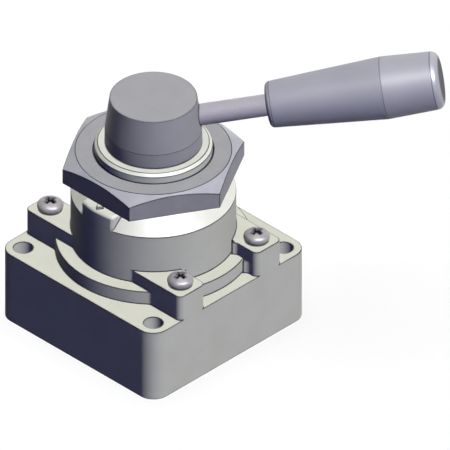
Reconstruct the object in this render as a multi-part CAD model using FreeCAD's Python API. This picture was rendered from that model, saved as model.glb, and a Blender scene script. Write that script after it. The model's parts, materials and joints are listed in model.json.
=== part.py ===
import FreeCAD, Part
import math
import os

# Hand lever air valve: a rotary slide valve in a one-piece die-cast housing.
# Millimetres, +Z up. The origin is the centre of the four mounting holes, on the mounting rim.
# The shaft turns about Z. At its middle position the lever points between +X and +Y.
# Four pan head screws in the pads pull the port plate up against the housing from inside.

# Housing block, with its skirt open below and a boss round each mounting hole
base_side = 68.0
base_corner_r = 5.5
flange_z = 25.1
skirt_wall = 2.0
mount_edge = 5.6
mount_hole_r = 3.04
mount_boss_r = 6.8

# Step ring, screw pads, turret and neck
turret_r = 25.6
turret_top_z = 46.8
cone_rise = 5.2
ring_step = 4.7
ring_rise = 4.6
pad_gap = 22.2
pad_width = 11.1
pad_rise = 8.9
pad_fillet = 2.0
neck_r = 18.3
neck_len = 13.4
neck_chamfer = 1.0

# Locating key on the -Y side, with a small pointed nib on its top
key_width = 13.5
key_fillet = 1.1
nib_width = 2.8
nib_len = 1.9
nib_rise = 0.8
nib_edge = 0.7

# Inside of the housing
collar_recess_r = 12.0
core_inner_r = 25.0
core_outer_r = 29.6
core_depth = 5.0
post_wall = 2.2

# Port plate with its round seat boss
plate_recess = 0.3
plate_thick = 14.7
seat_rise = 4.0
port_offset = 11.0
port_r = 5.9
port_depth = 11.0
passage_r = 3.2
passage_pitch_r = 13.0
seat_wall = 0.7

# Slide rings that seal the passages against the turning disc, each on a rubber ring
slide_ring_r = 5.0
slide_ring_h = 2.7
slide_ring_proud = 0.5
port_cord = 1.8
plate_cord = 1.8
plate_groove_w = 2.4

# Valve disc with two curved grooves in its underside
disc_side_gap = 1.5
disc_thick = 9.0
groove_depth = 4.0
groove_centre_deg = 45.0
groove_half_deg = 45.0
disc_bore_r = 4.5

# Conical disc spring, drive plate and drive pins
disc_spring_h = 3.5
disc_spring_t = 0.9
disc_spring_in = 8.5
disc_spring_out = 14.0
drive_side_gap = 1.0
drive_thick = 10.5
drive_top_gap = 0.5
pin_r = 1.5
pin_pitch_r = 16.2
pin_in_disc = 5.0
pin_in_drive = 6.0

# Detent balls and their coil springs
ball_r = 2.0
detent_pitch_r = 15.0
detent_depth = 0.6
detent_step_deg = 45.0
detent_hole_depth = 8.5
coil_wire_r = 0.28
coil_wire_sides = 4
coil_mean_r = 1.5
coil_turns = 4.0

# Shaft, its retaining ring, thrust washer, bushes and seals
shaft_r = 7.0
shaft_drive_r = 5.0
shaft_flat = 4.2
shaft_tail = 1.6
clip_t = 0.8
clip_out_r = 7.0
clip_groove_r = 4.0
clip_gap_deg = 70.0
collar_r = 11.0
collar_t = 3.0
washer_r = 11.5
washer_t = 1.0
bush_wall = 1.0
bush_len = 5.0
bush_sink = 0.3
shaft_cord = 1.75
shaft_groove_w = 2.4
dust_seal_in = 8.0
dust_seal_out = 12.0
dust_seal_t = 1.5

# Panel nut
nut_flats = 50.4
nut_thick = 7.6
nut_lift = 2.7
nut_crown_r = 24.2
nut_crown_deg = 27.0
nut_lead = 0.4

# Lever hub, rod and grip
hub_r = 15.1
hub_top_r = 13.6
hub_skirt_h = 4.95
hub_h = 16.45
hub_gap = 0.25
hub_roof = 3.1
lever_deg = 45.0
lever_tilt_deg = 10.1
lever_below_top = 9.3
rod_r = 3.42
rod_thread_r = 3.0
rod_tail = 3.0
rod_seat = 2.1
rod_in_grip = 28.0
grip_start = 35.8
grip_crease = 72.4
grip_end = 90.4
grip_neck_r = 7.2
grip_crease_r = 9.8
grip_end_r = 9.0
grip_neck_round = 1.4
grip_end_round = 2.4

# Pan head screws
screw_r = 2.0
screw_len = 28.0
screw_head_r = 4.1
screw_rim_h = 0.65
screw_head_h = 3.5
screw_tip = 1.0
screw_hole_r = 2.25
cross_span = 4.2
cross_slot = 1.0
cross_depth = 1.5

# Clearances
slip = 0.02
running = 0.04
face_gap = 0.05
plate_gap = 0.2
cord_gap = 0.01
ball_gap = 0.05
notch_gap = 0.15
nut_clearance = 0.05

# Heights and places worked out from the values above
half_side = base_side / 2
mount_at = half_side - mount_edge
ring_r = turret_r + ring_step
ring_z = flange_z + ring_rise
pad_z = flange_z + pad_rise
pad_in_y = pad_gap / 2
pad_out_y = pad_in_y + pad_width
screw_x = mount_at
screw_y = pad_in_y + pad_width / 2
shoulder_z = turret_top_z + cone_rise
shoulder_r = turret_r - cone_rise
neck_top_z = shoulder_z + neck_len
plate_top_z = plate_recess + plate_thick
pocket_half = half_side - skirt_wall
seat_z = plate_top_z + seat_rise
chamber_r = passage_pitch_r + slide_ring_r + seat_wall + plate_cord
seat_boss_r = chamber_r - plate_gap
passage_at = passage_pitch_r / math.sqrt(2)
slide_top_z = seat_z + slide_ring_proud
slide_low_z = slide_top_z - slide_ring_h
disc_r = chamber_r - disc_side_gap
disc_low_z = slide_top_z + face_gap
disc_top_z = disc_low_z + disc_thick
drive_r = chamber_r - drive_side_gap
drive_low_z = disc_top_z + disc_spring_h
drive_top_z = drive_low_z + drive_thick
chamber_top_z = drive_top_z + drive_top_gap
ball_z = chamber_top_z - face_gap - ball_r
detent_hole_z = drive_top_z - detent_hole_depth
collar_top_z = shoulder_z - washer_t - face_gap
collar_low_z = collar_top_z - collar_t
bush_out_r = shaft_r + running + bush_wall
low_bush_z = shoulder_z + bush_sink
high_bush_z = neck_top_z - bush_sink - bush_len
seal_z = (low_bush_z + bush_len + high_bush_z) / 2
shaft_groove_r = bush_out_r + slip - shaft_cord
nut_low_z = shoulder_z + nut_lift
nut_top_z = nut_low_z + nut_thick
hub_low_z = neck_top_z + hub_gap
hub_top_z = hub_low_z + hub_h
shaft_top_z = hub_top_z - hub_roof
lever_z = hub_top_z - lever_below_top
port_places = [(1, 1), (-1, 1), (-1, -1), (1, -1)]
detent_sides = [0.0, 180.0]
pin_sides = [90.0, 270.0]
overrun = 1.0


def vec(x, y, z):
    return FreeCAD.Vector(x, y, z)


def post(radius, low, high, x=0.0, y=0.0):
    return Part.makeCylinder(radius, high - low, vec(x, y, low))


def tube(inner, outer, low, high, x=0.0, y=0.0):
    bore = post(inner, low - overrun, high + overrun, x, y)
    return post(outer, low, high, x, y).cut(bore)


def block(x_low, x_high, y_low, y_high, low, high):
    corner = vec(x_low, y_low, low)
    return Part.makeBox(x_high - x_low, y_high - y_low, high - low, corner)


def turned(profile):
    """Solid of revolution about Z from a closed outline of (radius, height) points."""
    points = [vec(r, 0, z) for r, z in profile]
    face = Part.Face(Part.makePolygon(points + points[:1]))
    return face.revolve(vec(0, 0, 0), vec(0, 0, 1), 360)


def prism(corners, low, high):
    """Upright solid over a closed outline of (x, y) corners."""
    points = [vec(x, y, low) for x, y in corners]
    face = Part.Face(Part.makePolygon(points + points[:1]))
    return face.extrude(vec(0, 0, high - low))


def cord_ring(section, mean_r, z, x=0.0, y=0.0):
    """Rubber ring as it lies in its groove, squeezed flat on all four sides."""
    half = section / 2 - cord_gap
    return tube(mean_r - half, mean_r + half, z - half, z + half, x, y)


def polar(radius, degrees):
    angle = math.radians(degrees)
    return radius * math.cos(angle), radius * math.sin(angle)


def upright_edges(shape, wanted):
    """Upright straight edges of a shape whose place passes the test."""
    found = []
    for edge in shape.Edges:
        box = edge.BoundBox
        if box.ZLength > overrun and box.XLength + box.YLength < slip and wanted(box.Center):
            found.append(edge)
    return found


def rim_edges(shape, z):
    """Edges of a shape that lie in one level plane."""
    found = []
    for edge in shape.Edges:
        box = edge.BoundBox
        if abs(box.ZMin - z) < slip and abs(box.ZMax - z) < slip:
            found.append(edge)
    return found


def mirrored_four(shape):
    """A shape and its mirror images across both middle planes."""
    pair = [shape, shape.mirror(vec(0, 0, 0), vec(1, 0, 0))]
    return pair + [each.mirror(vec(0, 0, 0), vec(0, 1, 0)) for each in pair]


def fillet_web(wall_y, away, round_r, low, high):
    """Hollow corner fillet between a pad's side wall and a round wall, as a solid to add."""
    centre_y = wall_y + away * pad_fillet
    reach = round_r + pad_fillet
    centre_x = math.sqrt(reach ** 2 - centre_y ** 2)
    touch_x = centre_x * round_r / reach
    touch_y = centre_y * round_r / reach
    root_y = wall_y - away * pad_fillet
    outline = [(centre_x, wall_y), (centre_x, centre_y), (touch_x, touch_y), (touch_x, root_y)]
    corner = prism(outline, low, high)
    return corner.cut(post(pad_fillet, low - overrun, high + overrun, centre_x, centre_y))


def screw_pad():
    """One screw pad, flush with the +X face, with its outer corners rounded."""
    root_x = math.sqrt(turret_r ** 2 - pad_out_y ** 2) - pad_fillet
    pad = block(root_x, half_side, pad_in_y, pad_out_y, flange_z - overrun, pad_z)
    corners = upright_edges(pad, lambda at: at.x > half_side - slip)
    pad = pad.makeFillet(pad_fillet, corners)
    webs = []
    for wall_y, away in ((pad_in_y, -1), (pad_out_y, 1)):
        webs.append(fillet_web(wall_y, away, ring_r, flange_z - overrun, ring_z))
        webs.append(fillet_web(wall_y, away, turret_r, ring_z - overrun, pad_z))
    return pad.multiFuse(webs)


def locating_key():
    """Key that stands over the cone, flush with the turret, to stop the valve turning in a panel."""
    inner_y = shoulder_r - cone_rise
    slab = block(-key_width / 2, key_width / 2, -turret_r - overrun, -inner_y,
                 turret_top_z - cone_rise, shoulder_z)
    key = slab.common(post(turret_r, turret_top_z - cone_rise, shoulder_z))
    top = [e for e in rim_edges(key, shoulder_z) if e.BoundBox.Center.y < -inner_y - slip]
    fronts = upright_edges(key, lambda at: at.y < -inner_y - overrun)
    key = key.makeFillet(key_fillet, top + fronts)
    tip_y = -turret_r + nib_edge
    base_y = tip_y + nib_len
    outline = [(-nib_width / 2, base_y), (0, tip_y), (nib_width / 2, base_y)]
    nib = prism(outline, shoulder_z - overrun, shoulder_z + nib_rise)
    return key.fuse(nib)


def housing_outside():
    """Square flange block, step ring, four pads, turret with its cone, key and panel neck."""
    base = block(-half_side, half_side, -half_side, half_side, 0, flange_z)
    base = base.makeFillet(base_corner_r, upright_edges(base, lambda at: True))
    turret = turned([
        (0, plate_top_z), (ring_r, plate_top_z), (ring_r, ring_z), (turret_r, ring_z),
        (turret_r, turret_top_z), (shoulder_r, shoulder_z), (neck_r, shoulder_z),
        (neck_r, neck_top_z - neck_chamfer), (neck_r - neck_chamfer, neck_top_z), (0, neck_top_z)])
    added = [turret, locating_key()] + mirrored_four(screw_pad())
    return base.multiFuse(added).removeSplitter()


def pocket():
    """Space in the skirt for the port plate, between the four mounting bosses."""
    space = block(-pocket_half, pocket_half, -pocket_half, pocket_half, -overrun, plate_top_z)
    bosses = mirrored_four(post(mount_boss_r, -2 * overrun, plate_top_z + overrun, mount_at, mount_at))
    return space.cut(bosses)


def core_groove():
    """Round cored groove above the port plate that keeps the casting's wall even."""
    groove = tube(core_inner_r, core_outer_r, plate_top_z - overrun, plate_top_z + core_depth)
    post_r = screw_hole_r + post_wall
    screws = post(post_r, plate_top_z - 2 * overrun, pad_z, screw_x, screw_y)
    bosses = post(mount_boss_r, plate_top_z - 2 * overrun, pad_z, mount_at, mount_at)
    return groove.cut(mirrored_four(screws) + mirrored_four(bosses))


def detent_notch(degrees):
    x, y = polar(detent_pitch_r, degrees)
    return Part.makeSphere(ball_r + notch_gap, vec(x, y, ball_z + detent_depth))


def housing():
    """Die-cast housing: outside form less pocket, valve chamber, shaft bore and all its holes."""
    chamber = post(chamber_r, plate_top_z - overrun, chamber_top_z)
    recess = post(collar_recess_r, chamber_top_z - overrun, shoulder_z)
    bore = post(bush_out_r + slip, shoulder_z - overrun, neck_top_z + overrun)
    mounts = mirrored_four(post(mount_hole_r, -overrun, flange_z + overrun, mount_at, mount_at))
    screws = mirrored_four(post(screw_hole_r, plate_top_z - overrun, pad_z + overrun, screw_x, screw_y))
    notches = []
    for side in detent_sides:
        for step in (-detent_step_deg, 0.0, detent_step_deg):
            notches.append(detent_notch(side + step))
    cuts = [pocket(), core_groove(), chamber, recess, bore] + mounts + screws + notches
    return housing_outside().cut(cuts)


def port_plate():
    """Square port plate: threaded ports below, round seat boss above with the sealing pockets."""
    half = pocket_half - plate_gap
    plate = block(-half, half, -half, half, plate_recess, plate_top_z)
    boss = post(seat_boss_r, plate_top_z - overrun, seat_z)
    plate = plate.fuse(boss)
    middle = (plate_top_z + seat_z) / 2
    groove_floor = chamber_r - plate_cord
    cuts = [tube(groove_floor, chamber_r, middle - plate_groove_w / 2, middle + plate_groove_w / 2)]
    cuts += mirrored_four(post(mount_boss_r + plate_gap, 0, seat_z, mount_at, mount_at))
    tapped_z = pad_z - screw_len - screw_tip
    cuts += mirrored_four(post(screw_r + slip, tapped_z, seat_z, screw_x, screw_y))
    for sign_x, sign_y in port_places:
        port_x = sign_x * port_offset
        port_y = sign_y * port_offset
        hole_x = sign_x * passage_at
        hole_y = sign_y * passage_at
        port_floor = plate_recess + port_depth
        cuts.append(post(port_r, 0, port_floor, port_x, port_y))
        cuts.append(post(passage_r, port_floor - overrun, seat_z + overrun, hole_x, hole_y))
        cuts.append(post(slide_ring_r + slip, slide_low_z - port_cord, seat_z + overrun, hole_x, hole_y))
    return plate.cut(cuts)


def plate_o_ring():
    middle = (plate_top_z + seat_z) / 2
    return cord_ring(plate_cord, chamber_r - plate_cord / 2, middle)


def slide_ring(sign_x, sign_y):
    x = sign_x * passage_at
    y = sign_y * passage_at
    return tube(passage_r, slide_ring_r, slide_low_z, slide_top_z, x, y)


def port_o_ring(sign_x, sign_y):
    x = sign_x * passage_at
    y = sign_y * passage_at
    mean_r = slide_ring_r - port_cord / 2
    return cord_ring(port_cord, mean_r, slide_low_z - port_cord / 2, x, y)


def curved_groove(centre_deg):
    """Groove that joins two neighbouring ports when the disc is turned one step."""
    sweep = 2 * groove_half_deg
    start = centre_deg - groove_half_deg
    inner = passage_pitch_r - passage_r
    outer = inner + 2 * passage_r
    low = disc_low_z - overrun
    high = disc_low_z + groove_depth
    corners = [vec(inner, 0, low), vec(outer, 0, low), vec(outer, 0, high), vec(inner, 0, high)]
    section = Part.Face(Part.makePolygon(corners + corners[:1]))
    band = section.revolve(vec(0, 0, 0), vec(0, 0, 1), sweep)
    band.rotate(vec(0, 0, 0), vec(0, 0, 1), start)
    ends = []
    for degrees in (start, start + sweep):
        x, y = polar(passage_pitch_r, degrees)
        ends.append(post(passage_r, disc_low_z - overrun, disc_low_z + groove_depth, x, y))
    return band.multiFuse(ends)


def valve_disc():
    """Turning disc that slides on the four rings and joins the ports in pairs."""
    disc = post(disc_r, disc_low_z, disc_top_z)
    cuts = [curved_groove(groove_centre_deg), curved_groove(groove_centre_deg + 180)]
    cuts.append(post(disc_bore_r, disc_low_z - overrun, disc_top_z + overrun))
    for side in pin_sides:
        x, y = polar(pin_pitch_r, side)
        cuts.append(post(pin_r + slip, disc_top_z - pin_in_disc - face_gap, disc_top_z + overrun, x, y))
    return disc.cut(cuts)


def disc_spring():
    """Conical spring that presses the disc on its rings, wide edge down."""
    return turned([
        (disc_spring_out, disc_top_z), (disc_spring_out, disc_top_z + disc_spring_t),
        (disc_spring_in, drive_low_z), (disc_spring_in, drive_low_z - disc_spring_t)])


def drive_shape(clearance, low, high):
    """Round bar with two flats, which turns the drive plate."""
    round_bar = post(shaft_drive_r + clearance, low, high)
    across = shaft_flat + clearance
    reach = shaft_drive_r + overrun
    return round_bar.common(block(-across, across, -reach, reach, low, high))


def drive_plate():
    """Drive plate on the shaft's flats, with blind holes for the detent springs and the pins."""
    plate = post(drive_r, drive_low_z, drive_top_z)
    cuts = [drive_shape(slip, drive_low_z - overrun, drive_top_z + overrun)]
    for side in detent_sides:
        x, y = polar(detent_pitch_r, side)
        cuts.append(post(ball_r + ball_gap, detent_hole_z, drive_top_z + overrun, x, y))
    for side in pin_sides:
        x, y = polar(pin_pitch_r, side)
        cuts.append(post(pin_r + slip, drive_low_z - overrun, drive_low_z + pin_in_drive + face_gap, x, y))
    return plate.cut(cuts)


def drive_pin(side):
    x, y = polar(pin_pitch_r, side)
    return post(pin_r, disc_top_z - pin_in_disc, drive_low_z + pin_in_drive, x, y)


def detent_ball(side):
    x, y = polar(detent_pitch_r, side)
    return Part.makeSphere(ball_r, vec(x, y, ball_z))


def detent_spring(side):
    """Coil spring from the floor of its hole to the underside of the ball."""
    touch = math.sqrt((ball_r + coil_wire_r) ** 2 - coil_mean_r ** 2)
    low = detent_hole_z + coil_wire_r
    height = ball_z - touch - cord_gap - low
    path = Part.makeHelix(height / coil_turns, height, coil_mean_r)
    corners = []
    for side_index in range(coil_wire_sides + 1):
        out, rise = polar(coil_wire_r, side_index * 360 / coil_wire_sides)
        corners.append(vec(coil_mean_r + out, 0, rise))
    coil = path.makePipeShell([Part.makePolygon(corners)], True, True)
    x, y = polar(detent_pitch_r, side)
    coil.translate(vec(x, y, low))
    return coil


def shaft_length():
    """Turned outline of the shaft: driving end, collar, seal groove and plain top."""
    tail_z = drive_low_z - slip - clip_t - shaft_tail
    seal_low = seal_z - shaft_groove_w / 2
    seal_high = seal_z + shaft_groove_w / 2
    top = turned([
        (0, drive_top_z), (shaft_r, drive_top_z), (shaft_r, collar_low_z), (collar_r, collar_low_z),
        (collar_r, collar_top_z), (shaft_r, collar_top_z), (shaft_r, seal_low),
        (shaft_groove_r, seal_low), (shaft_groove_r, seal_high), (shaft_r, seal_high),
        (shaft_r, shaft_top_z), (0, shaft_top_z)])
    tail = drive_shape(0.0, tail_z, drive_top_z + overrun)
    clip_high = drive_low_z - slip
    groove = tube(clip_groove_r, clip_out_r, clip_high - clip_t - slip, clip_high)
    return top.fuse(tail.cut(groove))


def along_lever(shape):
    """Lay a shape made along +Z on the lever's axis, with its zero on the shaft's axis."""
    shape.rotate(vec(0, 0, 0), vec(0, 1, 0), 90 - lever_tilt_deg)
    shape.rotate(vec(0, 0, 0), vec(0, 0, 1), lever_deg)
    shape.translate(vec(0, 0, lever_z))
    return shape


def rod_thread_hole():
    return along_lever(post(rod_thread_r + slip, -rod_tail - face_gap, hub_r * 2))


def shaft():
    return shaft_length().cut(rod_thread_hole())


def retaining_ring():
    """Snap ring in the shaft's groove, open on one side."""
    high = drive_low_z - slip
    ring = tube(clip_groove_r + slip, clip_out_r, high - clip_t, high)
    half = clip_gap_deg / 2
    far = 2 * clip_out_r
    gap = [(0, 0), polar(far, -half), polar(far, half)]
    return ring.cut(prism(gap, high - 2 * clip_t, high + clip_t))


def thrust_washer():
    return tube(shaft_r + running, washer_r, shoulder_z - washer_t, shoulder_z)


def bush(low):
    return tube(shaft_r + running, bush_out_r, low, low + bush_len)


def shaft_o_ring():
    mean_r = shaft_groove_r + shaft_cord / 2 - slip / 2
    return cord_ring(shaft_cord - slip, mean_r - slip / 2, seal_z)


def dust_seal():
    """Felt ring in the hub's underside that wipes the top of the neck."""
    low = neck_top_z + face_gap
    return tube(dust_seal_in, dust_seal_out, low, low + dust_seal_t)


def panel_nut():
    """Hexagon panel nut with its top corners crowned, a flat towards -Y."""
    corner_r = nut_flats / math.sqrt(3)
    outline = [polar(corner_r, 60 * turn) for turn in range(6)]
    hexagon = prism(outline, nut_low_z, nut_top_z)
    drop = (corner_r + overrun - nut_crown_r) * math.tan(math.radians(nut_crown_deg))
    crown = turned([
        (0, nut_low_z), (corner_r + overrun, nut_low_z), (corner_r + overrun, nut_top_z - drop),
        (nut_crown_r, nut_top_z), (0, nut_top_z)])
    bore_r = neck_r + nut_clearance
    bore = turned([
        (0, nut_low_z - overrun), (bore_r, nut_low_z - overrun), (bore_r, nut_top_z - nut_lead),
        (bore_r + nut_lead + overrun, nut_top_z + overrun), (0, nut_top_z + overrun)])
    return hexagon.common(crown).cut(bore)


def lever_hub():
    """Tapered hub cap on the shaft's top, with the lever's seat in its side."""
    hub = turned([
        (0, hub_low_z), (hub_r, hub_low_z), (hub_r, hub_low_z + hub_skirt_h),
        (hub_top_r, hub_top_z), (0, hub_top_z)])
    seal_top = neck_top_z + face_gap + dust_seal_t
    seat = post(rod_r + slip, seat_distance(), hub_r * 2)
    cuts = [
        post(shaft_r + slip, hub_low_z - overrun, shaft_top_z),
        post(dust_seal_out, hub_low_z - overrun, seal_top),
        along_lever(seat),
        rod_thread_hole()]
    return hub.cut(cuts)


def seat_distance():
    """Where the lever's shoulder seats, measured from the shaft's axis along the lever."""
    return hub_top_r + (hub_r - hub_top_r) / 2 - rod_seat


def lever_rod():
    """Round lever rod: thread into the shaft, shoulder on the hub, plain end in the grip."""
    shoulder = seat_distance()
    thread = post(rod_thread_r, -rod_tail, shoulder + overrun)
    bar = post(rod_r, shoulder, grip_start + rod_in_grip)
    return along_lever(thread.fuse(bar))


def lever_grip():
    """Turned grip that widens to a crease and draws in again to its flat end."""
    grip = turned([
        (0, grip_start), (grip_neck_r, grip_start), (grip_crease_r, grip_crease),
        (grip_end_r, grip_end), (0, grip_end)])
    grip = grip.makeFillet(grip_neck_round, rim_edges(grip, grip_start))
    grip = grip.makeFillet(grip_end_round, rim_edges(grip, grip_end))
    bore = post(rod_r + slip, grip_start - overrun, grip_start + rod_in_grip + slip)
    return along_lever(grip.cut(bore))


def plate_screw():
    """Pan head screw with a cross recess, its head resting on the pad."""
    dome_h = screw_head_h - screw_rim_h
    dome_r = (screw_head_r ** 2 + dome_h ** 2) / (2 * dome_h)
    dome_z = pad_z + screw_head_h - dome_r
    head = post(screw_head_r, pad_z, pad_z + screw_head_h, screw_x, screw_y)
    head = head.common(Part.makeSphere(dome_r, vec(screw_x, screw_y, dome_z)))
    shank = post(screw_r, pad_z - screw_len, pad_z + screw_rim_h, screw_x, screw_y)
    floor = pad_z + screw_head_h - cross_depth
    top = pad_z + screw_head_h + overrun
    arm = cross_span / 2
    half = cross_slot / 2
    along_x = block(screw_x - arm, screw_x + arm, screw_y - half, screw_y + half, floor, top)
    along_y = block(screw_x - half, screw_x + half, screw_y - arm, screw_y + arm, floor, top)
    return head.fuse(shank).cut([along_x, along_y])


def save(name, shape):
    shape.exportStep("parts/" + name + ".step")
    print(name, len(shape.Solids), "solid", round(shape.Volume, 1), "mm3", shape.isValid())


os.makedirs("parts", exist_ok=True)
save("housing", housing())
save("port_plate", port_plate())
save("plate_o_ring", plate_o_ring())
for index, (sign_x, sign_y) in enumerate(port_places, start=1):
    save("slide_ring_" + str(index), slide_ring(sign_x, sign_y))
    save("port_o_ring_" + str(index), port_o_ring(sign_x, sign_y))
save("valve_disc", valve_disc())
save("disc_spring", disc_spring())
save("drive_plate", drive_plate())
for index, side in enumerate(pin_sides, start=1):
    save("drive_pin_" + str(index), drive_pin(side))
for index, side in enumerate(detent_sides, start=1):
    save("detent_ball_" + str(index), detent_ball(side))
    save("detent_spring_" + str(index), detent_spring(side))
save("retaining_ring", retaining_ring())
save("shaft", shaft())
save("thrust_washer", thrust_washer())
save("lower_bush", bush(low_bush_z))
save("upper_bush", bush(high_bush_z))
save("shaft_o_ring", shaft_o_ring())
save("dust_seal", dust_seal())
save("panel_nut", panel_nut())
save("lever_hub", lever_hub())
save("lever_rod", lever_rod())
save("lever_grip", lever_grip())
save("plate_screws", Part.makeCompound(mirrored_four(plate_screw())))
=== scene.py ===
import json
import math

import bmesh
import bpy
from mathutils import Matrix, Vector

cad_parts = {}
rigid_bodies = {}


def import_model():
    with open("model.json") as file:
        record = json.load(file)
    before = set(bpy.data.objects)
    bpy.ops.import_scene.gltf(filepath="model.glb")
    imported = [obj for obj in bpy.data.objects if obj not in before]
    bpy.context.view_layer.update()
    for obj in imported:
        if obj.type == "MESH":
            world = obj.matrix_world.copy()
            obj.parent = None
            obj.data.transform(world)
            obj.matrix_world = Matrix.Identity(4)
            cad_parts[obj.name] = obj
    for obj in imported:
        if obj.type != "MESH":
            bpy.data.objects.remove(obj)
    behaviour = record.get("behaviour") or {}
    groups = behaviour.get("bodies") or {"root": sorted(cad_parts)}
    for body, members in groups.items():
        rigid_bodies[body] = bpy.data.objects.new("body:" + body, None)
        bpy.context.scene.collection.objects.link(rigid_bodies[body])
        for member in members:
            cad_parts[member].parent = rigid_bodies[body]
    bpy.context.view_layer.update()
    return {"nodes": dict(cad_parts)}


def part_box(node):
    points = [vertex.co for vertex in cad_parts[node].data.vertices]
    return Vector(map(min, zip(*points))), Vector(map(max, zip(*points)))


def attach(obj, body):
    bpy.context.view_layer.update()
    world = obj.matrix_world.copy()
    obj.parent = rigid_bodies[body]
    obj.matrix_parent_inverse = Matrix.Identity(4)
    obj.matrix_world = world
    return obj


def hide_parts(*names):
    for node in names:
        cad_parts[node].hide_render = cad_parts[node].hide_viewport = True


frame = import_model()


# The housing. One aluminium die casting with a fine blasted skin under a clear passivation.
# Its panel neck, cone and shoulder are turned after casting, and every outer edge is lightly
# broken. Painted shade darkens the inner corners, a painted dark line runs along the broken
# edges, and the slanted turned faces carry a painted highlight.

cad = frame["nodes"]
mm = 0.001


def low(node):
    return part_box(node)[0]


def high(node):
    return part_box(node)[1]


def object_from(shape, name):
    """A new object at the origin that holds a bmesh shape, its steep unbroken edges sharp."""
    steep = math.radians(50.0)
    for edge in shape.edges:
        edge.smooth = not edge.is_manifold or edge.calc_face_angle() < steep
    mesh = bpy.data.meshes.new(name)
    shape.to_mesh(mesh)
    shape.free()
    made = bpy.data.objects.new(name, mesh)
    bpy.context.scene.collection.objects.link(made)
    return made


def welded_copy(node):
    """The CAD node's form as one closed skin, with its flat faces made whole again."""
    weld = 0.002 * mm
    flat = math.radians(0.5)
    source = cad[node].data
    points = [v.co.copy() for v in source.vertices]
    faces = [tuple(p.vertices) for p in source.polygons]
    mesh = bpy.data.meshes.new(node + "_weld")
    mesh.from_pydata(points, [], faces)
    shape = bmesh.new()
    shape.from_mesh(mesh)
    bpy.data.meshes.remove(mesh)
    bmesh.ops.remove_doubles(shape, verts=shape.verts, dist=weld)
    bmesh.ops.dissolve_degenerate(shape, dist=weld, edges=shape.edges)
    bmesh.ops.dissolve_limit(shape, angle_limit=flat, verts=shape.verts, edges=shape.edges)
    return shape


def edge_layer(shape):
    """Each face's number for its finish: 1 for a painted dark line or painted shade, as on a broken
    edge, else 0.
    """
    layers = shape.faces.layers.float
    return layers.get("edge") or layers.new("edge")


def break_edges(shape, width, sharp_deg=40.0, hidden=lambda place: False):
    """Rounds the outer edges that show. Points that crowd a corner are first drawn into it."""
    sharp = math.radians(sharp_deg)
    reach = 1.5 * width
    angled = {e: e.is_manifold and e.calc_face_angle() > sharp for e in shape.edges}
    drawn = {}
    for corner in shape.verts:
        if sum(angled[e] for e in corner.link_edges) < 3 or hidden(corner.co) or corner in drawn:
            continue
        for edge in corner.link_edges:
            other = edge.other_vert(corner)
            if edge.calc_length() < reach and other not in drawn:
                drawn[other] = corner
    bmesh.ops.weld_verts(shape, targetmap=drawn)
    edges = [e for e in shape.edges
             if e.is_manifold and e.is_convex and e.calc_face_angle() > sharp
             and not hidden((e.verts[0].co + e.verts[1].co) / 2)]
    mark = edge_layer(shape)
    made = bmesh.ops.bevel(shape, geom=edges, offset=width, offset_type="OFFSET", segments=2,
                           profile=0.5, affect="EDGES", clamp_overlap=False, loop_slide=True)
    # The rounded faces are marked for the painted dark line along the broken edges.
    for face in made["faces"]:
        face[mark] = 1.0
    return shape


def smooth(piece, finish):
    """Smooth shading that leaves the large flat faces flat, in the given finish."""
    for polygon in piece.data.polygons:
        polygon.use_smooth = True
    weights = piece.modifiers.new("weights", "WEIGHTED_NORMAL")
    weights.weight = 100
    weights.keep_sharp = True
    piece.data.materials.clear()
    piece.data.materials.append(finish)
    return piece


def add(tree, kind, inputs=None, **settings):
    """A node with its settings, and its inputs as numbers or as the sockets that feed them."""
    made = tree.nodes.new(kind)
    for name, value in settings.items():
        setattr(made, name, value)
    for name, value in (inputs or {}).items():
        if isinstance(value, bpy.types.NodeSocket):
            tree.links.new(value, made.inputs[name])
        else:
            made.inputs[name].default_value = value
    return made


def maths(tree, operation, first, second=0.0):
    return add(tree, "ShaderNodeMath", {0: first, 1: second}, operation=operation).outputs[0]


def new_finish(name):
    """A bare material with its shader and output in place."""
    finish = bpy.data.materials.new(name)
    finish.use_nodes = True
    tree = finish.node_tree
    tree.nodes.clear()
    shader = add(tree, "ShaderNodeBsdfPrincipled")
    add(tree, "ShaderNodeOutputMaterial", {"Surface": shader.outputs[0]})
    return finish, tree, shader


def coated(tree, shader, colour, roughness, gloss, metal=0.0):
    """Feeds colour and roughness to the shader and sets how glossy and how metallic it is."""
    tree.links.new(colour, shader.inputs["Base Color"])
    tree.links.new(roughness, shader.inputs["Roughness"])
    shader.inputs["Specular IOR Level"].default_value = gloss
    shader.inputs["Metallic"].default_value = metal


def bumped(tree, shader, height, depth, strength=1.0):
    """Feeds a height pattern of the given depth in metres to the shader as relief."""
    inputs = {"Height": height, "Distance": depth, "Strength": strength}
    bump = add(tree, "ShaderNodeBump", inputs)
    tree.links.new(bump.outputs[0], shader.inputs["Normal"])


def mixed(tree, share, first, second):
    """A colour between two others. Sockets 6, 7 and 2 are the mix node's colour ones."""
    mix = add(tree, "ShaderNodeMix", {"Factor": share}, data_type="RGBA")
    for slot, value in ((6, first), (7, second)):
        if isinstance(value, bpy.types.NodeSocket):
            tree.links.new(value, mix.inputs[slot])
        else:
            mix.inputs[slot].default_value = (*value, 1.0)
    return mix.outputs[2]


def ranged(tree, value, low_in, high_in, low_out, high_out):
    inputs = {"Value": value, "From Min": low_in, "From Max": high_in,
              "To Min": low_out, "To Max": high_out}
    return add(tree, "ShaderNodeMapRange", inputs).outputs[0]


def noise(tree, place, grain, detail=2.0):
    """Noise whose grains are about the given size in metres."""
    inputs = {"Vector": place, "Scale": 1.0 / grain, "Detail": detail}
    return add(tree, "ShaderNodeTexNoise", inputs).outputs[0]


def spread(tree, pattern, low_out, high_out):
    """The usual range of a noise pattern, stretched between two values."""
    return ranged(tree, pattern, 0.3, 0.7, low_out, high_out)


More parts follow.
